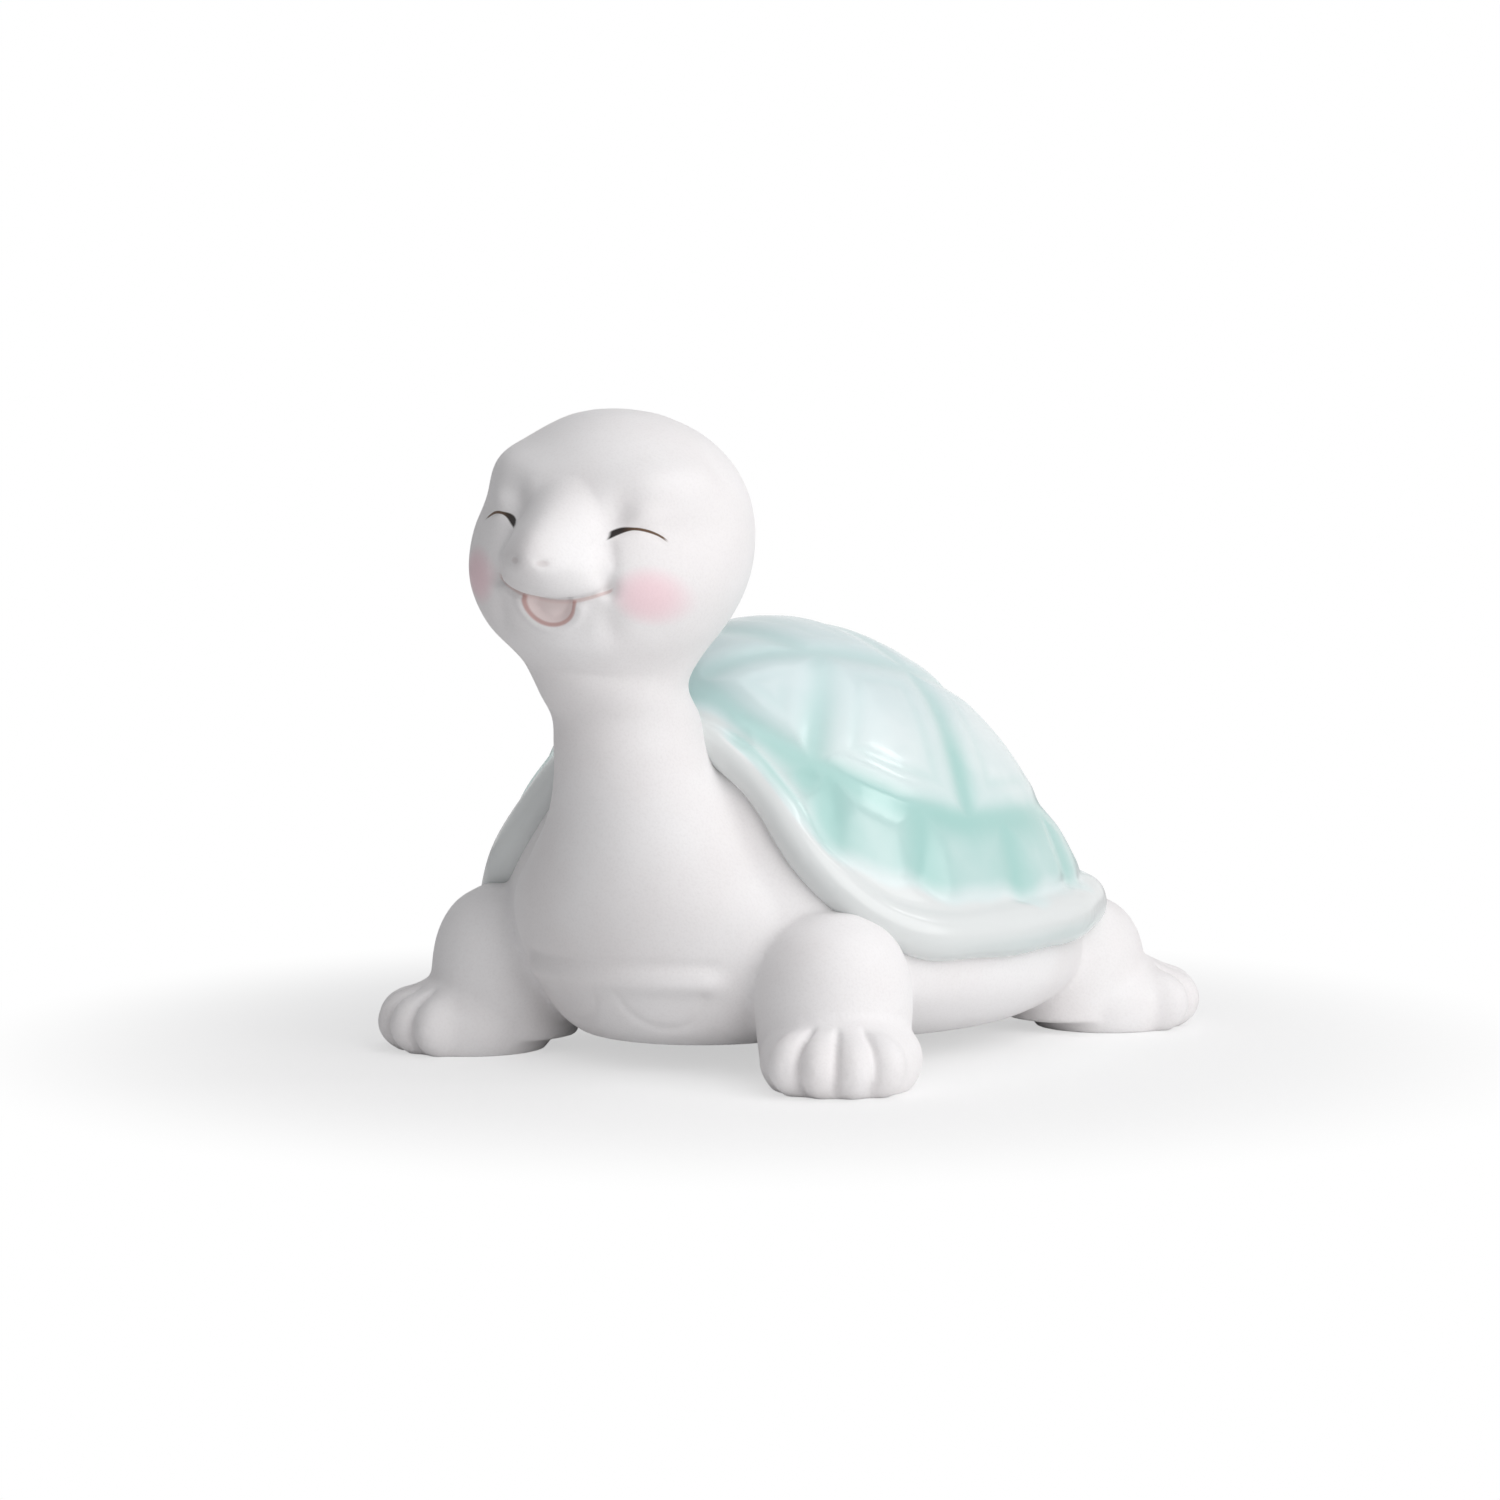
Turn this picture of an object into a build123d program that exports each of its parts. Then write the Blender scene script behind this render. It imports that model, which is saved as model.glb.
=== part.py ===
from build123d import *
import math
import os

# Hollow porcelain turtle figurine, slip-cast in pieces that are luted together before firing.
# The head, body, legs and tail are bare bisque. The carapace is glazed.
# Frame: +Z is up, -Y is the way the turtle faces and +X is its left side.
# The origin is on the table, under the middle of the overall box. Lengths are millimetres.

# Slip casting
wall = 3.0
vent_diameter = 5.0
leg_vent_diameter = 4.0
overrun = 5.0
ring_points = 16

# Carapace: a dome on a flat seat, cut off in front by an upright arch behind the neck.
# Below, a setback is measured in from the near end of the dome, and an inset in from its side.
seat_height = 16.8
dome_width = 88.8
dome_length = 99.2
dome_rise = 47.4
dome_rise_power = 1.5
dome_girth_power = 0.515
apex_lead = 6.0
dome_height_shares = (0.0, 0.12, 0.26, 0.42, 0.58, 0.73, 0.86, 0.95)
arch_setback = 11.8
arch_corner_radius = 20.0
rim_width = 6.0
rim_lip = 2.4
rim_round_share = 0.42

# Body: a rounded belly that tucks in under the rim of the carapace
belly_clearance = 3.0
rim_overhang = 1.5
# Height, girth and how much of its length is kept in front
belly_shares = (
    (0.00, 0.56, 0.80),
    (0.05, 0.72, 0.80),
    (0.15, 0.82, 0.81),
    (0.35, 0.92, 0.84),
    (0.68, 0.985, 0.93),
)

# Chest and neck: from the belly up to the seam below the head
chest_inset = 16.9
chest_depth = 55.0
chest_setback = 25.6
chest_lift = 1.0
neck_width = 21.4
neck_depth = 21.4
neck_setback = 6.8
neck_height = 52.0
# Height, lean towards the neck and girth left over from the chest
chest_shares = (
    (0.00, 0.00, 0.40),
    (0.06, 0.00, 0.62),
    (0.19, 0.00, 0.83),
    (0.33, 0.00, 0.98),
    (0.44, 0.08, 0.94),
    (0.55, 0.32, 0.65),
    (0.68, 0.60, 0.31),
    (0.81, 0.84, 0.09),
    (0.91, 0.95, 0.02),
    (1.00, 1.00, 0.00),
)

# Head: from the seam at the neck up to the crown
head_height = 44.2
head_width = 40.8
head_depth = 40.8
head_setback = 3.6
# Height, half width, front depth and back depth
head_shares = (
    (0.10, 0.54, 0.60, 0.53),
    (0.20, 0.67, 0.76, 0.61),
    (0.31, 0.85, 0.91, 0.79),
    (0.43, 0.97, 0.99, 0.93),
    (0.56, 1.00, 0.97, 1.00),
    (0.69, 0.96, 0.88, 0.98),
    (0.81, 0.84, 0.73, 0.86),
    (0.91, 0.62, 0.52, 0.65),
    (0.975, 0.34, 0.28, 0.36),
)
head_turn = 7.0
muzzle_width = 18.0
muzzle_height = 14.5
muzzle_length = 23.0
muzzle_place_share = 0.70
muzzle_height_share = 0.54

# Legs: a plump upper leg on a flat foot with four toes
leg_width = 22.0
front_leg_height = 25.0
rear_leg_height = 21.0
foot_width = 24.4
foot_length = 26.0
foot_height = 10.5
toe_count = 4
toe_width = 7.4
toe_length = 12.0
toe_height = 8.4
toe_spread = 24.0
toe_reach_share = 0.62
front_splay = 30.0
rear_splay = 124.0
front_leg_inset = 15.1
front_leg_setback = 16.9
front_foot_inset = 11.5
front_foot_setback = 13.4
rear_leg_inset = 14.7
rear_leg_setback = 16.9
rear_foot_inset = 11.1
rear_foot_setback = 12.4

# Tail: a short point below the rim
tail_length = 20.0
tail_width = 10.0
tail_height = 9.0
tail_height_share = 0.55

dome_half_width = dome_width / 2
dome_half_length = dome_length / 2
body_half_width = dome_half_width - rim_overhang
body_half_length = dome_half_length - rim_overhang
belly_depth = seat_height - belly_clearance
chest_base = belly_clearance + chest_lift
chest_width = dome_width - 2 * chest_inset
arch_reach = dome_half_length - arch_setback
chest_reach = dome_half_length - chest_setback
neck_reach = dome_half_length - neck_setback
head_reach = dome_half_length - head_setback
front_leg_place = (dome_half_width - front_leg_inset, front_leg_setback - dome_half_length)
front_foot_place = (dome_half_width - front_foot_inset, front_foot_setback - dome_half_length)
rear_leg_place = (dome_half_width - rear_leg_inset, dome_half_length - rear_leg_setback)
rear_foot_place = (dome_half_width - rear_foot_inset, dome_half_length - rear_foot_setback)


def ring(z, y, half_width, front, back):
    """A level, closed section. Its front and back halves can have different depths."""
    points = []
    for step in range(ring_points):
        angle = 2 * math.pi * step / ring_points
        depth = front if math.sin(angle) < 0 else back
        points.append((half_width * math.cos(angle), y + depth * math.sin(angle), z))
    marks = [step / ring_points for step in range(ring_points + 1)]
    return Wire([Edge.make_spline(points, periodic=True, parameters=marks)])


def dome_rings(inset):
    """The sections of the dome, from the seat upwards, and the point at its top."""
    rise = dome_rise - inset
    rings = []
    for share in dome_height_shares:
        girth = (1 - share**dome_rise_power) ** dome_girth_power
        width = dome_half_width * girth - inset
        length = dome_half_length * girth - inset
        rings.append(ring(seat_height + rise * share, -apex_lead * share, width, length, length))
    return [*rings, Vertex(0, -apex_lead, seat_height + rise)]


def dome(inset):
    """The form of the dome, carried straight down past its seat."""
    length = dome_half_length - inset
    skirt = ring(seat_height - overrun, 0, dome_half_width - inset, length, length)
    return Solid.make_loft([skirt, *dome_rings(inset)])


def belly(inset):
    """The egg-shaped form of the body: a belly below the seat and shoulders within the dome."""
    base = belly_clearance + inset
    rings = []
    for height_share, girth_share, front_share in belly_shares:
        width = body_half_width * girth_share - inset
        front = body_half_length * girth_share * front_share - inset
        back = body_half_length * girth_share - inset
        rings.append(ring(base + (seat_height - base) * height_share, 0, width, front, back))
    return Solid.make_loft([*rings, *dome_rings(rim_overhang + inset)])


def trunk(inset):
    """The form of the chest, neck and head in one."""
    rings = []
    base = chest_base + inset
    for height_share, lean_share, girth_share in chest_shares:
        y = -chest_reach - (neck_reach - chest_reach) * lean_share
        width = (neck_width + (chest_width - neck_width) * girth_share) / 2 - inset
        depth = (neck_depth + (chest_depth - neck_depth) * girth_share) / 2 - inset
        rings.append(ring(base + (neck_height - base) * height_share, y, width, depth, depth))
    rise = head_height - inset
    for height_share, width_share, front_share, back_share in head_shares:
        width = head_width / 2 * width_share - inset
        front = head_depth / 2 * front_share - inset
        back = head_depth / 2 * back_share - inset
        rings.append(ring(neck_height + rise * height_share, -head_reach, width, front, back))
    return Solid.make_loft([*rings, Vertex(0, -head_reach, neck_height + rise)])


def spheroid(width, length, height):
    """A ball stretched to three overall sizes."""
    return scale(Sphere(1), by=(width / 2, length / 2, height / 2))


def behind_arch(inset):
    """The space above the seat and behind the arch, which the carapace fills."""
    block = Box(2 * dome_width, 2 * dome_length, 2 * dome_rise, align=(Align.CENTER, Align.MIN, Align.MIN))
    block = Pos(0, -arch_reach + inset, seat_height + inset) * block
    low_edges = block.edges().filter_by(Axis.X).group_by(Axis.Z)[0]
    return fillet(low_edges.sort_by(Axis.Y)[0], arch_corner_radius - inset)


def above_neck():
    """The space above the seam between the body and the head."""
    size = 2 * (dome_length + head_height)
    return Pos(0, 0, neck_height) * Box(size, size, size, align=(Align.CENTER, Align.CENTER, Align.MIN))


def carapace_form():
    """The outside of the carapace: the dome with a rounded lip along its seat and arch."""
    form = dome(-rim_lip) & behind_arch(0)
    form -= behind_arch(rim_width) - dome(0)
    rear_of_rim = Vertex(0, dome_half_length + rim_lip, seat_height + rim_width / 2)
    lip = form.faces().sort_by_distance(rear_of_rim)[0]
    seam = lip.edges().sort_by(lambda edge: edge.bounding_box().size.Y)[0]
    borders = [edge for edge in lip.edges() if not edge.is_same(seam)]
    return fillet(borders, rim_lip * rim_round_share)


def head_form():
    """The outside of the head and neck. The muzzle is turned to the left about the head's middle."""
    middle = Pos(0, -head_reach, neck_height + head_height * muzzle_height_share)
    forward = Pos(0, -head_depth / 2 * muzzle_place_share, 0)
    muzzle = middle * Rot(0, 0, head_turn) * forward * spheroid(muzzle_width, muzzle_length, muzzle_height)
    return (trunk(0) & above_neck()) + muzzle


def foot(splay):
    """A flat foot at the origin with its toes fanned about its heading."""
    form = spheroid(foot_width, foot_length, 2 * foot_height)
    for toe in range(toe_count):
        turn = toe_spread * (toe - (toe_count - 1) / 2)
        tip = Pos(0, -foot_length / 2 * toe_reach_share, toe_height / 2)
        form += Rot(0, 0, turn) * tip * spheroid(toe_width, toe_length, toe_height)
    return Rot(0, 0, splay) * form


def below_table():
    """The space below the table that the feet stand on."""
    return Box(2 * dome_width, 2 * dome_length, dome_rise, align=(Align.CENTER, Align.CENTER, Align.MAX))


def leg(side, leg_place, foot_place, height, splay):
    """A hollow leg, coped to the body and the carapace. The side is 1 on the left and -1 on the right."""
    middle = Pos(side * leg_place[0], leg_place[1], height / 2)
    sole = Pos(side * foot_place[0], foot_place[1], 0)
    form = middle * spheroid(leg_width, leg_width, height) + sole * foot(side * splay)
    form -= middle * spheroid(leg_width - 2 * wall, leg_width - 2 * wall, height - 2 * wall)
    return form - below_table() - body_outside - carapace_outside


def leg_vent(leg_place, height):
    """A hole through both sides of the body, which lets air out of a pair of legs."""
    hole = Cylinder(leg_vent_diameter / 2, 2 * leg_place[0], rotation=(0, 90, 0))
    return Pos(0, leg_place[1], height / 2) * hole


body_outside = belly(0) + trunk(0)
carapace_outside = carapace_form()

carapace = carapace_outside - dome(wall)
head = head_form() - trunk(wall) - carapace_outside

body = body_outside - belly(wall) - trunk(wall) - carapace_outside - above_neck()
body -= Pos(0, 0, belly_clearance) * Cylinder(vent_diameter / 2, 2 * wall + overrun)
body -= leg_vent(front_leg_place, front_leg_height)
body -= leg_vent(rear_leg_place, rear_leg_height)

front_leg = (front_leg_place, front_foot_place, front_leg_height, front_splay)
rear_leg = (rear_leg_place, rear_foot_place, rear_leg_height, rear_splay)

tail_z = belly_clearance + belly_depth * tail_height_share
tail = Pos(0, body_half_length, tail_z) * spheroid(tail_width, tail_length, tail_height)
tail = tail - body_outside - carapace_outside

nodes = {
    "body_casting": body,
    "head_casting": head,
    "carapace": carapace,
    "front_left_leg": leg(1, *front_leg),
    "front_right_leg": leg(-1, *front_leg),
    "rear_left_leg": leg(1, *rear_leg),
    "rear_right_leg": leg(-1, *rear_leg),
    "tail": tail,
}
front_y = min(node.bounding_box().min.Y for node in nodes.values())
rear_y = max(node.bounding_box().max.Y for node in nodes.values())
to_origin = Pos(0, -(front_y + rear_y) / 2, 0)

os.makedirs("parts", exist_ok=True)
for name, node in nodes.items():
    export_step(to_origin * node, f"parts/{name}.step")
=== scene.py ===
import math

import bpy
import numpy as np
from mathutils import Euler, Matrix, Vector
from mathutils.kdtree import KDTree


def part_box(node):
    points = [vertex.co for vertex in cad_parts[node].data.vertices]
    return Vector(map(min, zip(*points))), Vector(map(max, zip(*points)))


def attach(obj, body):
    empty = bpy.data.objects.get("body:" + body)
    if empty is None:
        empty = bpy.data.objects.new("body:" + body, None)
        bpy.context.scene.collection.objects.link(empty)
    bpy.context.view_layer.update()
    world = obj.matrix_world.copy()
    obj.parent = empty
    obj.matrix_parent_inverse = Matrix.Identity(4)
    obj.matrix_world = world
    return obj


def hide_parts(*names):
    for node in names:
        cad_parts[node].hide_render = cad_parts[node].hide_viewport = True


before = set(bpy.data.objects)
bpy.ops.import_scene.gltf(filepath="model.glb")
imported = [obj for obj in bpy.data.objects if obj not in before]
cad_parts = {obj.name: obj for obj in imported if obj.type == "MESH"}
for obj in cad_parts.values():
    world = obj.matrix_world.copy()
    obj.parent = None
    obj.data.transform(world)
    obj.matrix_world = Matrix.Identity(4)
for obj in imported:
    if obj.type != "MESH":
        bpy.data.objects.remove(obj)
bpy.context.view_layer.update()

# A porcelain turtle: bare bisque head, body, legs and tail under a glazed celadon shell.
# The clay is shaped in millimetres about the middle of the shell, and then set down in metres in the frame.
MM = 0.001
TAIL_TIP = 58.1
SHELL_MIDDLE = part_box("tail")[1][1] / MM - TAIL_TIP

# Shell
SEAT = 16.8
HALF_WIDTH = 44.4
HALF_LENGTH = 49.6
RISE = 47.4
APEX_LEAD = 6.0
ARCH = -37.8
ARCH_ROUND = 20.0
SHELL_WALL = 3.0
BEAD = 3.9
BEAD_SUNK = 1.6
DOME_SQUARE = 1.5
DOME_ROUND = 0.515

# Head: its middle, how far it is turned to the left and how far it leans, and the seam at the neck
HEAD = Vector((0, -46, 75))
HEAD_TURN = Euler((0, math.radians(5), math.radians(10)))
NECK = 52.0

# Legs: where the leg and the foot stand, the leg's height and the heading of the toes
FRONT_LEG = ((29.3, -32.7), (32.9, -36.2), 25, 30)
REAR_LEG = ((29.7, 32.7), (33.3, 37.2), 21, 124)
TOES = (-36, -12, 12, 36)
PAD_SIZE = (23.4, 25, 15.5)
PAD_HEIGHT = 4
TOE_SIZE = (7.8, 12.6, 10)
TOE_REACH = 8.4
TOE_HEIGHT = 4.3
SHIN = ((0.08, 10.5), (0.32, 11.2), (0.52, 11.3), (0.72, 10.2), (0.88, 7.6), (0.98, 3.4))

# Belly: shares of its height, girth and front length, up to the shell, and then shares of the dome's rise
BELLY_BOTTOM = 3.0
BELLY_DEPTH = 13.8
BELLY_HALF_WIDTH = 42.9
BELLY_HALF_LENGTH = 48.1
BELLY = ((0, 0.56, 0.80), (0.05, 0.72, 0.80), (0.15, 0.82, 0.81), (0.35, 0.92, 0.84), (0.68, 0.985, 0.93))
UNDER_SHELL = (0.06, 0.18, 0.32, 0.48, 0.64, 0.78, 0.89)
UNDER_SHELL_GAP = 2.2

# Chest and neck: shares of the height, of the lean forward and of the girth
CHEST_BOTTOM = 4.0
CHEST_PLACE = -24.0
CHEST_LEAN = 18.8
NECK_RADIUS = 10.7
CHEST_GAIN = 16.8
CHEST = ((0, 0, 0.40), (0.06, 0, 0.62), (0.19, 0, 0.83), (0.33, 0, 0.98), (0.44, 0.08, 0.94),
         (0.55, 0.32, 0.65), (0.68, 0.60, 0.31), (0.81, 0.84, 0.09), (0.91, 0.95, 0.02), (1.0, 1.0, 0))

# Skull: shares of the height, of the half width and of the half depth in front and behind
SKULL_HEIGHT = 44.2
SKULL_RADIUS = 20.4
SKULL = ((0.10, 0.54, 0.60, 0.53), (0.20, 0.67, 0.76, 0.61), (0.31, 0.85, 0.91, 0.79),
         (0.43, 0.97, 0.99, 0.93), (0.56, 1.0, 0.97, 1.0), (0.69, 0.96, 0.88, 0.98), (0.81, 0.84, 0.73, 0.86),
         (0.91, 0.62, 0.52, 0.65), (0.975, 0.34, 0.28, 0.36), (0.997, 0.10, 0.09, 0.11))

# Face, from the middle of the head: presses by amount, place to the side and up, and reach to the side and up
FACE_PRESSES = (
    (1.3, 12, 12, 6.0, 3.2),  # brow
    (-1.4, 8.2, 7.4, 2.3, 2.7),  # inner corner of the eye socket
    (-0.8, 15.5, 6.0, 3.5, 2.8),  # outer corner of the eye socket
    (0.5, 11.4, 7.6, 3.2, 1.4),  # lid
    (0.8, 12.4, -2.2, 4.8, 4.6),  # cheek
    (-0.9, 8.7, -2.8, 0.8, 1.3),  # corner of the smile
    (0.5, 0, -11.5, 6, 2.2),  # chin
    (-0.4, 8.5, -8.0, 1.6, 3.0),  # fold beside the mouth
    (-0.35, 0, -16.4, 7, 1.0),  # crease under the chin
    (-0.3, 2.2, 0.6, 0.9, 0.6),  # nostril
    (-0.8, 0, -8.0, 5.5, 3.0),  # chin set back behind the snout
)
SMILE_LOW = -5.4
SMILE_RISE = 2.3
SMILE_HALF = 8.5
MOUTH_HALF = (3.9, 3.3)
EYE_MIDDLE = 10.8
EYE_TOP = 5.75
EYE_CURVE = 0.107

# How fine the clay is worked, and how far the seams between the castings go in
CLAY_GRAIN = 0.62
SHELL_GRAIN = 0.55
SEAM_DEPTH = 1.2

# The camera, in millimetres from the middle of the shell
CAMERA_EYE = (414.57, -614.63, 113.45)
CAMERA_TARGET = (-8.26, 0.81, 43.07)
CAMERA_LENS = 118.1


def deselect():
    if bpy.context.object and bpy.context.object.mode != "OBJECT":
        bpy.ops.object.mode_set(mode="OBJECT")
    bpy.ops.object.select_all(action="DESELECT")


def pick(*pieces):
    """Select these pieces, the last one active."""
    deselect()
    for piece in pieces:
        piece.select_set(True)
    bpy.context.view_layer.objects.active = pieces[-1]
    return pieces[-1]


def edit_all(piece):
    pick(piece)
    bpy.ops.object.mode_set(mode="EDIT")
    bpy.ops.mesh.select_all(action="SELECT")


def apply_modifier(piece, kind, **settings):
    pick(piece)
    modifier = piece.modifiers.new(kind.lower(), kind)
    for name, value in settings.items():
        setattr(modifier, name, value)
    bpy.ops.object.modifier_apply(modifier=modifier.name)


def join(name, pieces):
    whole = pick(*pieces)
    if len(pieces) > 1:
        bpy.ops.object.join()
    whole.name = name
    return whole


def between(rows, steps):
    """More rows between the given ones, on a smooth curve through them."""
    rows = np.array(rows, float)
    rows = np.vstack((2 * rows[0] - rows[1], rows, 2 * rows[-1] - rows[-2]))
    result = []
    for a, b, c, d in zip(rows, rows[1:], rows[2:], rows[3:]):
        for t in np.arange(steps) / steps:
            square = a - 2.5 * b + 2 * c - d / 2
            cube = 1.5 * (b - c) + (d - a) / 2
            result.append(b + (c - a) * t / 2 + square * t**2 + cube * t**3)
    return [*result, rows[-2]]


def stack(name, rows, sides=72, x=0.0):
    """A closed form of level rings. A row is a height, a place along the body, a half width and a half
    depth."""
    deselect()
    z, y, wide, deep = (float(value) for value in rows[0])
    bpy.ops.mesh.primitive_circle_add(vertices=sides, radius=1, fill_type="NGON", location=(x, y, z))
    piece = bpy.context.object
    piece.name = name
    bpy.ops.object.transform_apply(location=True, rotation=True, scale=True)
    bpy.ops.object.mode_set(mode="EDIT")
    bpy.ops.mesh.select_all(action="SELECT")
    bpy.ops.transform.resize(value=(wide, deep, 1), center_override=(x, y, z))
    for row in rows[1:]:
        z1, y1, wide1, deep1 = (float(value) for value in row)
        bpy.ops.mesh.extrude_region_move(TRANSFORM_OT_translate={"value": (0, y1 - y, z1 - z)})
        bpy.ops.transform.resize(value=(wide1 / wide, deep1 / deep, 1), center_override=(x, y1, z1))
        z, y, wide, deep = z1, y1, wide1, deep1
    bpy.ops.mesh.select_all(action="SELECT")
    bpy.ops.mesh.normals_make_consistent(inside=False)
    bpy.ops.object.mode_set(mode="OBJECT")
    return piece


def ball(name, size, place, turn=0.0):
    """A ball of clay pressed to an overall size."""
    deselect()
    bpy.ops.mesh.primitive_ico_sphere_add(
        subdivisions=5, radius=0.5, location=place, rotation=(0, 0, math.radians(turn)), scale=size)
    piece = bpy.context.object
    piece.name = name
    bpy.ops.object.transform_apply(location=True, rotation=True, scale=True)
    return piece


def mark(piece, name):
    """Name the casting that this clay belongs to."""
    clay = bpy.data.materials.get(name) or bpy.data.materials.new(name)
    piece.data.materials.append(clay)
    return piece


class Clay:
    """The points of a piece, for pressing and pinching its surface."""

    def __init__(self, piece):
        self.mesh = piece.data
        count = len(self.mesh.vertices)
        self.points = np.empty((count, 3), np.float32)
        self.mesh.vertices.foreach_get("co", self.points.ravel())
        self.normals = np.empty((count, 3), np.float32)
        self.mesh.vertex_normals.foreach_get("vector", self.normals.ravel())

    def push(self, amount):
        self.points += self.normals * np.asarray(amount)[:, None]

    def keep(self):
        self.mesh.vertices.foreach_set("co", self.points.astype(np.float32).ravel())
        self.mesh.update()

    def paint(self, name, values):
        layer = self.mesh.attributes.new(name, "FLOAT", "POINT")
        layer.data.foreach_set("value", np.asarray(values, np.float32))


def bump(*distances):
    """A soft round bump, 1 in the middle, from distances counted in its own radii."""
    return np.exp(-sum(np.asarray(distance) ** 2 for distance in distances))


def ramp(low, high, value):
    """0 below low, 1 above high and smooth between."""
    t = np.clip((np.asarray(value) - low) / (high - low), 0, 1)
    return t * t * (3 - 2 * t)


def dome_girth(share):
    """The share of its full width that the dome keeps at a share of its rise."""
    return (1 - np.clip(share, 0, 1) ** DOME_SQUARE) ** DOME_ROUND


def dome_row(share, inset=0.0):
    girth = dome_girth(share)
    height = SEAT + (RISE - inset) * share
    return (height, -APEX_LEAD * share, HALF_WIDTH * girth - inset, HALF_LENGTH * girth - inset)


def make_belly():
    rows = []
    for height, girth, front in BELLY:
        back = BELLY_HALF_LENGTH * girth
        middle, half = back * (1 - front) / 2, back * (1 + front) / 2
        rows.append((BELLY_BOTTOM + BELLY_DEPTH * height, middle, BELLY_HALF_WIDTH * girth, half))
    rows += [dome_row(share, UNDER_SHELL_GAP) for share in UNDER_SHELL]
    return mark(stack("belly", between(rows, 4)), "body")


def make_column():
    """The chest, neck and skull in one. Above the neck it belongs to the head's casting."""
    rows = []
    for height, lean, girth in CHEST:
        half = NECK_RADIUS + CHEST_GAIN * girth
        level = CHEST_BOTTOM + (NECK - CHEST_BOTTOM) * height
        rows.append((level, CHEST_PLACE - CHEST_LEAN * lean, half, half))
    for height, wide, front, back in SKULL:
        middle, half = HEAD.y + SKULL_RADIUS / 2 * (back - front), SKULL_RADIUS / 2 * (front + back)
        rows.append((NECK + SKULL_HEIGHT * height, middle, SKULL_RADIUS * wide, half))
    column = mark(mark(stack("column", between(rows, 4)), "body"), "head")
    for face in column.data.polygons:
        face.material_index = int(face.center.z > NECK)
    return column


def make_leg(name, side, leg_place, foot_place, height, splay):
    """A shin on a foot of a pad and four toes."""
    rows = [(height * share, leg_place[1], girth, girth) for share, girth in SHIN]
    pieces = [stack("shin", between(rows, 3), 48, side * leg_place[0])]
    foot = Vector((side * foot_place[0], foot_place[1], 0))
    pieces.append(ball("pad", PAD_SIZE, foot + Vector((0, 0, PAD_HEIGHT)), side * splay))
    for toe in TOES:
        heading = math.radians(side * splay + toe)
        ahead = Vector((math.sin(heading), -math.cos(heading), 0))
        tip = foot + TOE_REACH * ahead + Vector((0, 0, TOE_HEIGHT))
        pieces.append(ball("toe", TOE_SIZE, tip, side * splay + toe))
    return mark(join(name, pieces), name)


def make_clay():
    """All the bisque in one lump, so that the castings flow into one another."""
    lumps = [make_column()]
    for name, side in (("left", 1), ("right", -1)):
        lumps.append(make_leg(f"front_{name}_leg", side, *FRONT_LEG))
        lumps.append(make_leg(f"rear_{name}_leg", side, *REAR_LEG))
    lumps.append(mark(ball("tail", (10, 20, 9), (0, 48.1, 10.6)), "tail"))
    clay = join("clay", [*lumps, make_belly()])
    clay.data.remesh_voxel_size = CLAY_GRAIN
    clay.data.use_remesh_preserve_attributes = True
    bpy.ops.object.voxel_remesh()
    apply_modifier(clay, "SMOOTH", factor=0.5, iterations=12)
    edit_all(clay)
    bpy.ops.mesh.select_all(action="DESELECT")
    bpy.ops.object.mode_set(mode="OBJECT")
    coarse = ("body", "tail")
    fine = [index for index, slot in enumerate(clay.data.materials) if slot.name not in coarse]
    slots = np.empty(len(clay.data.polygons), np.int32)
    clay.data.polygons.foreach_get("material_index", slots)
    clay.data.polygons.foreach_set("select", np.isin(slots, fine))
    bpy.ops.object.mode_set(mode="EDIT")
    bpy.ops.mesh.select_mode(type="FACE")
    bpy.ops.mesh.subdivide(number_cuts=1)
    bpy.ops.object.mode_set(mode="OBJECT")
    surface = Clay(clay)
    draw_snout(surface)
    surface.keep()
    apply_modifier(clay, "SMOOTH", factor=0.5, iterations=8)
    return clay


def in_face(clay):
    """Places across, along and up the head, from its middle and turned with it."""
    return ((clay.points - np.array(HEAD)) @ np.array(HEAD_TURN.to_matrix())).T


def draw_snout(clay):
    """Pull the snout out of the head: a blunt wedge with its ridge running up between the eyes."""
    x, y, z = in_face(clay)
    height = np.where(z > 0.8, (z - 0.8) / 11.5, (0.8 - z) / 6.4)
    width = 9.2 - 0.2 * np.clip(z, 0, 12)
    spread = np.sqrt((x / width) ** 2 + height**2 + 0.25)
    rise = np.clip((math.sqrt(1.25) - spread) / (math.sqrt(1.25) - 0.5), 0, 1)
    reach = 7.4 * rise ** (1 + 0.5 * ramp(0, 7, z)) * ramp(3, 9, -y)
    clay.points += reach[:, None] * -np.array(HEAD_TURN.to_matrix())[:, 1]


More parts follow.
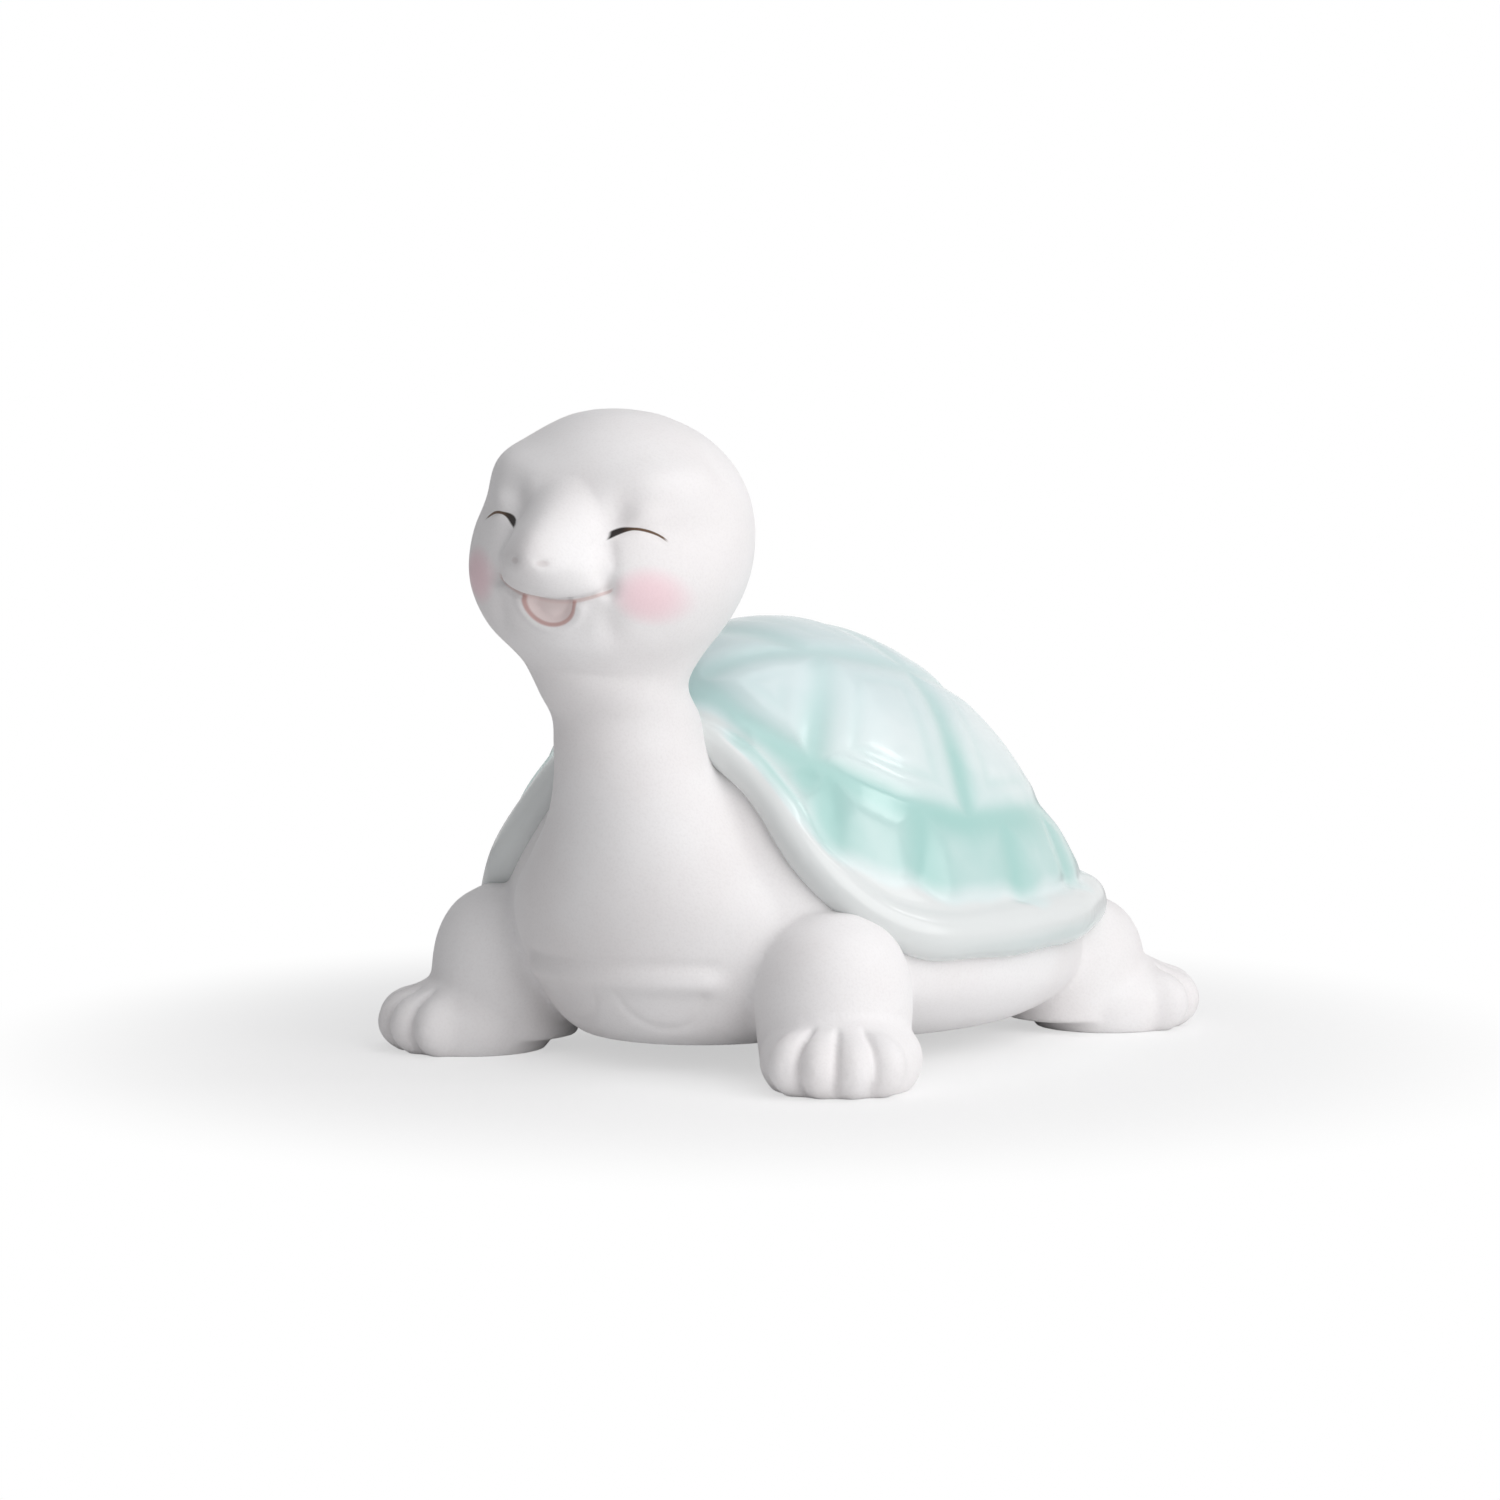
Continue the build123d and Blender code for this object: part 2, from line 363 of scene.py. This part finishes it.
def model_face(clay):
    """Press the brows, eyes, smile and chin into the head."""
    x, y, z = in_face(clay)
    side = np.abs(x)
    front = ramp(1, 6, -y)
    amount = -1.1 * bump((z + 16.5) / 4.0)
    for press, across, up, wide, tall in FACE_PRESSES:
        amount += press * bump((side - across) / wide, (z - up) / tall)
    crease = ramp(-4.5, -2.5, z) * (1 - ramp(2.5, 5.5, z))
    amount -= 0.8 * bump((side - 8.2 + 0.12 * z) / 1.3) * crease
    smile = z - (SMILE_LOW + SMILE_RISE * (side / SMILE_HALF) ** 2)
    lip = 1 - ramp(8.0, 9.0, side)
    amount += lip * (0.35 * bump((smile - 1.3) / 1.0) - 0.8 * bump(smile / 0.5))
    mouth = np.sqrt((side / MOUTH_HALF[0]) ** 2 + ((z - SMILE_LOW) / MOUTH_HALF[1]) ** 2)
    inside = (1 - ramp(0.72, 1.02, mouth)) * (1 - ramp(-0.3, 0.3, smile))
    amount -= inside * (1.3 - 0.8 * bump(side / 2.6, (z + 7.6) / 1.3))
    amount += 0.4 * bump((mouth - 1.25) / 0.22) * (1 - ramp(-1.2, 0, smile))
    eye = z - (EYE_TOP - EYE_CURVE * (side - EYE_MIDDLE) ** 2)
    amount -= 0.25 * bump(eye / 0.45) * ramp(7.0, 7.8, side) * (1 - ramp(13.6, 14.8, side))
    clay.push(amount * front)


def model_chest(clay):
    """The front edge of the belly plate stands out below the chest and ends short of the legs. Two curved
    lines mark the plate, the vent goes in below, and the soles are flat."""
    x, y, z = clay.points.T
    side = np.abs(x)
    front = ramp(22, 30, -y) * (1 - ramp(14.5, 18.5, side))
    above = z - 16.4
    amount = 1.1 * bump((above + 2.0) / 1.9) - 0.5 * bump((above - 0.3) / 0.9)
    curve = np.sqrt((side - 8) ** 2 + (z - 13) ** 2) - 6
    amount -= 0.25 * bump(curve / 0.6) * (1 - ramp(12, 14, z))
    clay.push(amount * front)
    vent = (1 - ramp(2.0, 2.7, np.hypot(x, y))) * (z < 7)
    clay.points[:, 2] = np.maximum(z, 0) + 4 * vent


def model_toes(clay):
    """Press the grooves between the toes into the feet."""
    x, y, z = clay.points.T
    amount = np.zeros(len(z))
    for side in (1, -1):
        for _, place, _, splay in (FRONT_LEG, REAR_LEG):
            for first, second in zip(TOES, TOES[1:]):
                heading = math.radians(side * splay + (first + second) / 2)
                out = (x - side * place[0]) * math.sin(heading) - (y - place[1]) * math.cos(heading)
                across = (x - side * place[0]) * math.cos(heading) + (y - place[1]) * math.sin(heading)
                reach = ramp(7.5, 10.0, out) * (1 - ramp(17, 19, out))
                reach *= ramp(0, 1.5, z) * (1 - ramp(9.0, 11.5, z))
                amount -= 0.65 * bump(across / 0.55) * reach
    clay.push(amount)


def soften(piece, normals):
    """Shade a piece with the normals of the whole clay, so that its luted seams don't show."""
    piece.data.shade_smooth()
    piece.data.normals_split_custom_set_from_vertices(normals)


def split_castings(lump):
    """Cut the clay into its castings and close each of them inside: each seam's edge goes in a little way,
    and from there to one point in the middle of the seam."""
    whole = np.empty((len(lump.data.vertices), 3), np.float32)
    lump.data.vertex_normals.foreach_get("vector", whole.ravel())
    layer = lump.data.attributes.new("clay_normal", "FLOAT_VECTOR", "POINT")
    layer.data.foreach_set("vector", whole.ravel())
    edit_all(lump)
    bpy.ops.mesh.separate(type="MATERIAL")
    bpy.ops.object.mode_set(mode="OBJECT")
    castings = {}
    for piece in list(bpy.context.selected_objects):
        name = piece.data.materials[piece.data.polygons[0].material_index].name
        edit_all(piece)
        bpy.ops.mesh.select_all(action="DESELECT")
        bpy.ops.mesh.select_mode(type="EDGE")
        bpy.ops.mesh.select_non_manifold(
            use_wire=False, use_multi_face=False, use_non_contiguous=False, use_verts=False)
        bpy.ops.mesh.extrude_edges_move(TRANSFORM_OT_translate={"value": (0, 0, 0)})
        bpy.ops.object.mode_set(mode="OBJECT")
        for point, normal in zip(piece.data.vertices, piece.data.attributes["clay_normal"].data):
            if point.select:
                point.co -= SEAM_DEPTH * Vector(normal.vector)
        bpy.ops.object.mode_set(mode="EDIT")
        bpy.ops.mesh.extrude_edges_move(TRANSFORM_OT_translate={"value": (0, 0, 0)})
        bpy.ops.mesh.merge(type="COLLAPSE")
        bpy.ops.mesh.select_all(action="SELECT")
        bpy.ops.mesh.normals_make_consistent(inside=False)
        bpy.ops.object.mode_set(mode="OBJECT")
        piece.data.materials.clear()
        piece.name = name
        castings[name] = piece
    return castings


def rim_path():
    """The line along the middle of the rolled rim, from the top of the arch round the left side to the
    rear."""
    low, near, corner = SEAT + BEAD - 0.5, ARCH + BEAD - 0.5, ARCH_ROUND - BEAD + 0.5

    def out(y, z):
        share = (z - SEAT) / RISE
        girth = dome_girth(share)
        along = (y + APEX_LEAD * share) / (HALF_LENGTH * girth - BEAD_SUNK)
        return (HALF_WIDTH * girth - BEAD_SUNK) * math.sqrt(max(0.0, 1 - along**2))

    top = low
    while out(near, top) > 0:
        top += 0.02
    points = []
    for step in range(60):
        z = top - (top - low - corner) * (step / 60) ** 1.6
        points.append((out(near, z), near, z))
    for step in range(20):
        angle = math.pi / 2 * step / 20
        y, z = near + corner * (1 - math.cos(angle)), low + corner * (1 - math.sin(angle))
        points.append((out(y, z), y, z))
    share = (low - SEAT) / RISE
    girth = dome_girth(share)
    wide, long = HALF_WIDTH * girth - BEAD_SUNK, HALF_LENGTH * girth - BEAD_SUNK
    start = math.asin((near + corner + APEX_LEAD * share) / long)
    for step in range(101):
        angle = start + (math.pi / 2 - start) * step / 100
        points.append((wide * math.cos(angle), long * math.sin(angle) - APEX_LEAD * share, low))
    return np.array(points)


def even(points, spacing):
    """Points at an even spacing along a line."""
    points = np.asarray(points, float)
    run = np.concatenate(([0], np.cumsum(np.linalg.norm(np.diff(points, axis=0), axis=1))))
    marks = np.linspace(0, run[-1], max(2, round(run[-1] / spacing)))
    return np.stack([np.interp(marks, run, column) for column in points.T], 1)


# Heights of the shell's lines by the way they face, in degrees from the front, -90, to the rear, 90
RIM_LINE = ((-90, 53.0), (-69, 49.0), (-58, 42.9), (-49.5, 35.7), (-40, 31.0), (-29, 26.9), (-15, 24.5),
            (5, 23.2), (90, 23.4))
MARGIN_LINE = ((-90, 57.0), (-74, 54.2), (-62, 50.6), (-36, 42.7), (-24, 39.3), (-6, 36.0), (28, 35.0),
               (90, 35.5))
MARGIN_CUTS = (-62, -40, -19, 6, 29, 52, 74)
# The spine plates' edge and the cuts between the plates, seen from above
SPINE_EDGE = ((3.5, -27), (8, -21), (14, -13.5), (18.5, -5), (20, 3), (19, 13), (16, 22), (11, 30), (6, 37))
SIDE_CUTS = (((14, -13.5), (18.2, -19), (23.5, -30)), ((20, 1), (27, -1.5), (37, -8.5)),
             ((17.8, 17), (24, 20.5), (33, 26)))
SPINE_CUTS = (((0, -16), (13, -15)), ((0, 1.5), (20, 1)), ((0, 18), (17.6, 17)), ((0, 31), (10.5, 31)))


def facing(x, y):
    """The way a place faces from the middle of the shell, as in the tables above."""
    return np.degrees(np.arctan2(y + APEX_LEAD, np.abs(x)))


def line_height(line, angle):
    return np.interp(angle, *np.array(line).T)


def dome_height(x, y):
    """The height of the dome over points seen from above."""
    share = np.full(np.shape(x), 0.5)
    for _ in range(40):
        radius = np.sqrt((x / HALF_WIDTH) ** 2 + ((y + APEX_LEAD * share) / HALF_LENGTH) ** 2)
        risen = (1 - np.clip(radius, 0, 1) ** (1 / DOME_ROUND)) ** (1 / DOME_SQUARE)
        share = 0.5 * share + 0.5 * risen
    return SEAT + RISE * share


def on_dome(angle, z):
    """The point of the dome that faces an angle at a height."""
    share = (z - SEAT) / RISE
    girth = dome_girth(share)
    wide, long, y = HALF_WIDTH * girth, HALF_LENGTH * girth, -APEX_LEAD * share
    cosine, sine = math.cos(math.radians(angle)), math.sin(math.radians(angle))
    a = (cosine / wide) ** 2 + (sine / long) ** 2
    b = sine * (-APEX_LEAD - y) / long**2
    c = ((-APEX_LEAD - y) / long) ** 2 - 1
    reach = (-b + math.sqrt(max(0.0, b * b - a * c))) / a
    return (reach * cosine, -APEX_LEAD + reach * sine, z)


def shell_lines():
    """Points along the grooves between the plates, on the left side."""
    lines = []
    for plan in (SPINE_EDGE, *SIDE_CUTS, *SPINE_CUTS):
        smooth = even(between(plan, 8), 0.5)
        lines.append(np.column_stack((smooth, dome_height(*smooth.T))))
    angles = np.linspace(-90, 90, 240)
    lines.append(even([on_dome(angle, line_height(MARGIN_LINE, angle)) for angle in angles], 0.5))
    for angle in MARGIN_CUTS:
        low, high = line_height(RIM_LINE, angle) + 0.6, line_height(MARGIN_LINE, angle)
        cut = [on_dome(angle - 4 * (1 - t), low + (high - low) * t) for t in np.linspace(0, 1, 30)]
        lines.append(even(cut, 0.5))
    return np.vstack(lines)


def make_shell():
    """The dome, cut to a round arch over the neck and hollowed, with a rolled rim all round its edge."""
    shares = 1 - (1 - np.linspace(0, 0.985, 48)) ** 1.7
    dome = stack("shell", [(SEAT - 2, *dome_row(0)[1:]), *(dome_row(share) for share in shares)], 128)
    edit_all(dome)
    for turn in range(0, 91, 9):
        way = Vector((0, math.cos(math.radians(turn)), math.sin(math.radians(turn))))
        place = Vector((0, ARCH + ARCH_ROUND, SEAT + ARCH_ROUND)) - (ARCH_ROUND - 2) * way
        bpy.ops.mesh.select_all(action="SELECT")
        bpy.ops.mesh.bisect(plane_co=place, plane_no=way, clear_inner=True, use_fill=False)
    bpy.ops.object.mode_set(mode="OBJECT")
    apply_modifier(dome, "SOLIDIFY", thickness=SHELL_WALL, offset=-1)
    left = even(rim_path(), 1.6)
    right = left[-2:0:-1] * (-1, 1, 1)
    path = np.vstack((left, right))
    curve = bpy.data.curves.new("rim", "CURVE")
    curve.dimensions = "3D"
    curve.bevel_depth = BEAD
    curve.bevel_resolution = 6
    spline = curve.splines.new("NURBS")
    spline.points.add(len(path) - 1)
    for point, place in zip(spline.points, path):
        point.co = (*place, 1)
        angle = facing(place[0], place[1])
        point.radius = 0.64 + 0.42 * ramp(-80, 10, angle) + 0.04 * math.cos(math.radians(angle * 16))
    spline.use_cyclic_u = True
    spline.order_u = 4
    rim = bpy.data.objects.new("rim", curve)
    bpy.context.scene.collection.objects.link(rim)
    pick(rim)
    bpy.ops.object.convert(target="MESH")
    shell = join("shell", [bpy.context.object, dome])
    shell.data.remesh_voxel_size = SHELL_GRAIN
    bpy.ops.object.voxel_remesh()
    apply_modifier(shell, "SMOOTH", factor=0.5, iterations=10)
    model_plates(shell)
    shell.data.shade_smooth()
    return shell


def model_plates(shell):
    """Press the grooves and growth rings into the shell. Note where the glaze pools, where the rim is bare,
    where its underside is shaded and where the spine is."""
    clay = Clay(shell)
    x, y, z = clay.points.T
    middle = np.array((0, -APEX_LEAD, SEAT), np.float32)
    outward = np.einsum("ij,ij->i", clay.normals, clay.points - middle)
    angle = facing(x, y)
    wave = 0.5 * np.cos(np.radians(angle * 16 + 60)) + 0.3 * np.cos(np.radians(angle * 29))
    over_rim = z - line_height(RIM_LINE, angle) - wave
    outside = ramp(0, 6, outward)
    arch = ramp(0.3, 0.7, -clay.normals[:, 1]) * (1 - ramp(ARCH + 3, ARCH + 7, y))
    plates = ramp(-0.8, 2.2, over_rim) * outside * (1 - arch)
    over_margin = z - line_height(MARGIN_LINE, angle)
    lines = shell_lines()
    tree = KDTree(len(lines))
    for index, point in enumerate(lines):
        tree.insert(point, index)
    tree.balance()
    near = np.array([tree.find((abs(a), b, c))[2] for a, b, c in clay.points])
    inner = ramp(-1, 2.5, over_margin)
    ring = bump((near - 5.8) / 1.2) * inner
    amount = 0.3 * ramp(0, 5, near) - (0.18 + 0.32 * inner) * bump(near / 2.4) - 0.15 * ring
    amount *= 1 - 0.5 * ramp(50, 58, z)
    amount -= 0.35 * bump((over_rim - 0.8) / 1.4)
    amount -= 1.0 * bump((z - 37) / 6) * ramp(15, 60, angle)
    clay.push(amount * plates)
    clay.keep()
    pool = (0.16 + 0.40 * inner) * bump(near / 2.6) + 0.22 * ring
    pool += 0.55 * (1 - inner) * ramp(0.5, 4.0, over_rim) + 0.2 * bump(near / 5.5)
    clay.paint("pool", np.clip(pool, 0, 1) * plates)
    clay.paint("bare_rim", 1 - plates)
    clay.paint("rim_shade", ramp(-0.2, 0.5, -clay.normals[:, 2]) * ramp(-30, 20, angle) * outside)
    clay.paint("spine", ramp(44, 58, z))


def set_down(piece, name, body_slot, *nodes):
    """Scale a finished piece to metres, move it to its place in the frame and bind it there."""
    piece.name = name
    edit_all(piece)
    bpy.ops.transform.translate(value=(0, SHELL_MIDDLE, 0))
    bpy.ops.transform.resize(value=(MM, MM, MM), center_override=(0, 0, 0))
    bpy.ops.object.mode_set(mode="OBJECT")
    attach(piece, "root")
    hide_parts(*nodes)


class Wire:
    """A socket in a finish, so that shader sums read as plain sums."""

    def __init__(self, tree, socket=None):
        self.tree = tree
        self.socket = socket

    def add(self, kind, settings=None, sockets=None, output=0):
        node = self.tree.nodes.new("ShaderNode" + kind)
        for name, value in (settings or {}).items():
            setattr(node, name, value)
        for name, value in (sockets or {}).items():
            if isinstance(value, Wire):
                self.tree.links.new(value.socket, node.inputs[name])
            else:
                node.inputs[name].default_value = value
        return Wire(self.tree, node.outputs[output] if node.outputs else None)

    def sum(self, operation, *values):
        return self.add("Math", {"operation": operation}, dict(enumerate(values)))

    def __add__(self, other):
        return self.sum("ADD", self, other)

    def __radd__(self, other):
        return self.sum("ADD", other, self)

    def __sub__(self, other):
        return self.sum("SUBTRACT", self, other)

    def __rsub__(self, other):
        return self.sum("SUBTRACT", other, self)

    def __mul__(self, other):
        return self.sum("MULTIPLY", self, other)

    def __rmul__(self, other):
        return self.sum("MULTIPLY", other, self)

    def __truediv__(self, other):
        return self.sum("DIVIDE", self, other)

    def __rtruediv__(self, other):
        return self.sum("DIVIDE", other, self)

    def __pow__(self, other):
        return self.sum("POWER", self, other)

    def __abs__(self):
        return self.sum("ABSOLUTE", self)

    def ramp(self, low, high):
        sockets = {"Value": self, "From Min": low, "From Max": high}
        return self.add("MapRange", {"interpolation_type": "SMOOTHSTEP"}, sockets)

    def blend(self, first, second):
        """The first colour where this is 0 and the second where it is 1."""
        return self.add("Mix", {"data_type": "RGBA"}, {0: self, 6: first, 7: second}, 2)

    def part(self, index):
        return self.add("SeparateXYZ", None, {0: self}, index)


def finish(name):
    material = bpy.data.materials.new(name)
    material.use_nodes = True
    material.node_tree.nodes.clear()
    return material, Wire(material.node_tree)


def noise(start, place, scale, detail=3.0, roughness=0.5):
    sockets = {"Vector": place, "Scale": scale, "Detail": detail, "Roughness": roughness}
    return start.add("TexNoise", None, sockets)


def bisque_finish(name, paint=None):
    """Unglazed porcelain: a chalky white with a fine tooth, a little warmer where the kiln has toned it."""
    material, start = finish(name)
    place = start.add("TexCoord", None, None, 3)
    cloud = noise(start, place, 45.0, 3.0)
    tooth = noise(start, place, 2600.0, 2.0, 0.6)
    tone = cloud.ramp(0.38, 0.66).blend((0.835, 0.815, 0.815, 1), (0.87, 0.86, 0.862, 1))
    colour = (tooth.ramp(0.25, 0.6)).blend((0.80, 0.785, 0.785, 1), (1, 1, 1, 1))
    multiply = {"data_type": "RGBA", "blend_type": "MULTIPLY"}
    colour = start.add("Mix", multiply, {0: 0.18, 6: tone, 7: colour}, 2)
    rough = 0.62 + 0.14 * tooth
    if paint:
        colour, rough = paint(start, place, colour, rough)
    height = tooth + 0.8 * noise(start, place, 700.0)
    grain = start.add("Bump", None, {"Strength": 0.10, "Distance": 0.0002, "Height": height})
    shader = start.add("BsdfPrincipled", None, {
        "Base Color": colour, "Roughness": rough, "Normal": grain, "IOR": 1.5, "Specular IOR Level": 0.35,
        "Sheen Weight": 0.12, "Sheen Roughness": 0.6})
    start.add("OutputMaterial", None, {"Surface": shader})
    return material


def paint_face(start, place, colour, rough):
    """The painted eye lines, mouth and blush, in millimetres from the middle of the head."""
    middle = (HEAD + Vector((0, SHELL_MIDDLE, 0))) * MM
    face = start.add("Mapping", {"vector_type": "TEXTURE"}, {
        "Vector": place, "Location": middle, "Rotation": HEAD_TURN, "Scale": (MM, MM, MM)})
    side, z = abs(face.part(0)), face.part(2)
    front = (0 - face.part(1)).ramp(4, 7)

    reach = (side - 13.5) / 4.9
    lift = (z + 3.4) / 4.8
    blush = (1 - (reach * reach + lift * lift).ramp(0.0, 1.0)) * front
    colour = (blush * 0.42).blend(colour, (0.89, 0.44, 0.53, 1))

    smile = z - (side * side * (SMILE_RISE / SMILE_HALF**2) + SMILE_LOW)
    lip = (1 - abs(smile).ramp(0.1, 0.45)) * (1 - side.ramp(8.4, 9.2)) * front
    colour = (lip * 0.5).blend(colour, (0.55, 0.34, 0.31, 1))
    across, down = side / MOUTH_HALF[0], (z - SMILE_LOW) / MOUTH_HALF[1]
    mouth = (across * across + down * down) ** 0.5
    below = 1 - smile.ramp(-0.25, 0.35)
    inside = (1 - mouth.ramp(0.85, 1.0)) * below * front
    colour = (inside * 0.75).blend(colour, (0.84, 0.69, 0.67, 1))
    outline = (1 - abs(mouth - 1.0).ramp(0.03, 0.14)) * below * front
    colour = (outline * 0.7).blend(colour, (0.50, 0.22, 0.19, 1))

    away = side - EYE_MIDDLE
    brush = 0.22 + 0.42 * (1 - side.ramp(7.8, 10.6)) - 0.06 * side.ramp(12.0, 14.4)
    line = abs(z - (EYE_TOP - EYE_CURVE * away * away)) / brush
    eye = (1 - line.ramp(0.65, 1.15)) * side.ramp(7.2, 7.7) * (1 - side.ramp(13.8, 14.7)) * front
    ink = side.ramp(8.4, 11.4).blend((0.012, 0.008, 0.007, 1), (0.13, 0.075, 0.045, 1))
    colour = eye.blend(colour, ink)

    hole, gap = (side - 2.2) / 1.0, (z - 0.5) / 0.6
    nostril = (1 - (hole * hole + gap * gap).ramp(0.0, 1.0)) * front
    colour = (nostril * 0.3).blend(colour, (0.42, 0.34, 0.33, 1))
    return colour, rough + 0.1 * eye


def glaze_finish(name):
    """Celadon: a clear pale glaze that turns greener where it pools, over a rim left almost white."""
    material, start = finish(name)
    place = start.add("TexCoord", None, None, 3)
    pool = start.add("Attribute", {"attribute_name": "pool"}, None, 2)
    rim = start.add("Attribute", {"attribute_name": "bare_rim"}, None, 2)
    shade = start.add("Attribute", {"attribute_name": "rim_shade"}, None, 2)
    spine = start.add("Attribute", {"attribute_name": "spine"}, None, 2)
    cloud = noise(start, place, 60.0, 4.0)
    depth = (pool + 0.3 * (cloud - 0.5)).ramp(-0.05, 1.05)
    colour = depth.blend((0.70, 0.79, 0.79, 1), (0.35, 0.60, 0.56, 1))
    pale = noise(start, place, 110.0, 2.0).ramp(0.45, 0.7) * 0.3
    colour = (pale * (1 - depth)).blend(colour, (0.84, 0.88, 0.88, 1))
    colour = (spine * 0.6).blend(colour, (0.60, 0.72, 0.74, 1))
    colour = (rim.ramp(0.2, 0.95) * 0.96).blend(colour, (0.72, 0.745, 0.74, 1))
    colour = (shade * 0.5).blend(colour, (0.56, 0.70, 0.69, 1))
    ripple = noise(start, place, 130.0, 2.0)
    skin = start.add("Bump", None, {"Strength": 0.12, "Distance": 0.0006, "Height": ripple})
    shader = start.add("BsdfPrincipled", None, {
        "Base Color": colour, "Roughness": 0.14 + 0.10 * cloud, "Normal": skin, "IOR": 1.5,
        "Specular IOR Level": 0.5})
    start.add("OutputMaterial", None, {"Surface": shader})
    return material


def floor_finish(name):
    """A pale table that takes the shadow and fades to white away from the figurine."""
    material, start = finish(name)
    place = start.add("TexCoord", None, None, 3)
    x, y = place.part(0), place.part(1)
    far = (x * x + y * y).ramp(0.003, 0.016)
    seen = start.add("LightPath", None, None, 0)
    table = start.add("BsdfDiffuse", None, {"Color": (0.93, 0.93, 0.93, 1)})
    white = start.add("Emission", None, {"Color": (1, 1, 1, 1), "Strength": 1.0})
    both = start.add("MixShader", None, {0: (0.55 + 0.45 * far) * seen, 1: table, 2: white})
    start.add("OutputMaterial", None, {"Surface": both})
    return material


def aim(thing, eye, target):
    thing.location = eye
    thing.rotation_euler = (Vector(target) - Vector(eye)).to_track_quat("-Z", "Y").to_euler()


def area_lamp(name, eye, target, size, energy, colour):
    deselect()
    bpy.ops.object.light_add(type="AREA")
    lamp = bpy.context.object
    lamp.name = name
    lamp.data.shape = "DISK"
    lamp.data.size = size
    lamp.data.energy = energy
    lamp.data.color = colour
    aim(lamp, eye, target)


def studio():
    """A white room with soft lamps from the right and above, the table and the camera."""
    scene = bpy.context.scene
    scene.view_settings.view_transform = "Standard"
    world = bpy.data.worlds.new("studio")
    scene.world = world
    world.use_nodes = True
    world.node_tree.nodes.clear()
    start = Wire(world.node_tree)
    seen = start.add("LightPath", None, None, 0).sum(
        "MAXIMUM", start.add("LightPath", None, None, 0), start.add("LightPath", None, None, 3))
    fill = start.add("Background", None, {"Color": (0.98, 0.98, 1.0, 1), "Strength": 0.27})
    white = start.add("Background", None, {"Color": (1, 1, 1, 1), "Strength": 1.0})
    start.add("OutputWorld", None, {"Surface": start.add("MixShader", None, {0: seen, 1: fill, 2: white})})

    middle = (0, 0, 0.045)
    area_lamp("key", (0.80, -0.20, 0.36), middle, 0.9, 5.0, (1.0, 0.99, 0.99))
    area_lamp("top", (0.20, 0.15, 0.93), middle, 0.9, 2.2, (1.0, 0.99, 1.0))
    area_lamp("front", (0.35, -0.75, 0.35), middle, 0.6, 0.35, (1.0, 0.98, 0.99))
    area_lamp("window", (0.55, 0.29, 0.71), middle, 0.16, 0.4, (1.0, 1.0, 1.0))

    deselect()
    bpy.ops.mesh.primitive_plane_add(size=3.0)
    floor = bpy.context.object
    floor.name = "table"
    floor.data.materials.append(floor_finish("table_white"))

    bpy.ops.object.camera_add()
    camera = bpy.context.object
    camera.data.lens = CAMERA_LENS
    camera.data.sensor_width = 36
    along = Vector((0, SHELL_MIDDLE, 0))
    aim(camera, (Vector(CAMERA_EYE) + along) * MM, (Vector(CAMERA_TARGET) + along) * MM)
    scene.camera = camera


lump = make_clay()
surface = Clay(lump)
model_face(surface)
model_chest(surface)
model_toes(surface)
surface.keep()
castings = split_castings(lump)
bisque = bisque_finish("bisque")
painted = bisque_finish("painted_bisque", paint_face)
for name, piece in castings.items():
    node = {"body": "body_casting", "head": "head_casting"}.get(name, name)
    stored = np.empty((len(piece.data.vertices), 3), np.float32)
    piece.data.attributes["clay_normal"].data.foreach_get("vector", stored.ravel())
    piece.data.attributes.remove(piece.data.attributes["clay_normal"])
    set_down(piece, f"bisque_{name}", "bisque", node)
    soften(piece, stored)
    piece.data.materials.append(painted if name == "head" else bisque)
shell = make_shell()
set_down(shell, "glazed_shell", "celadon_glaze", "carapace")
shell.data.materials.append(glaze_finish("celadon"))
studio()
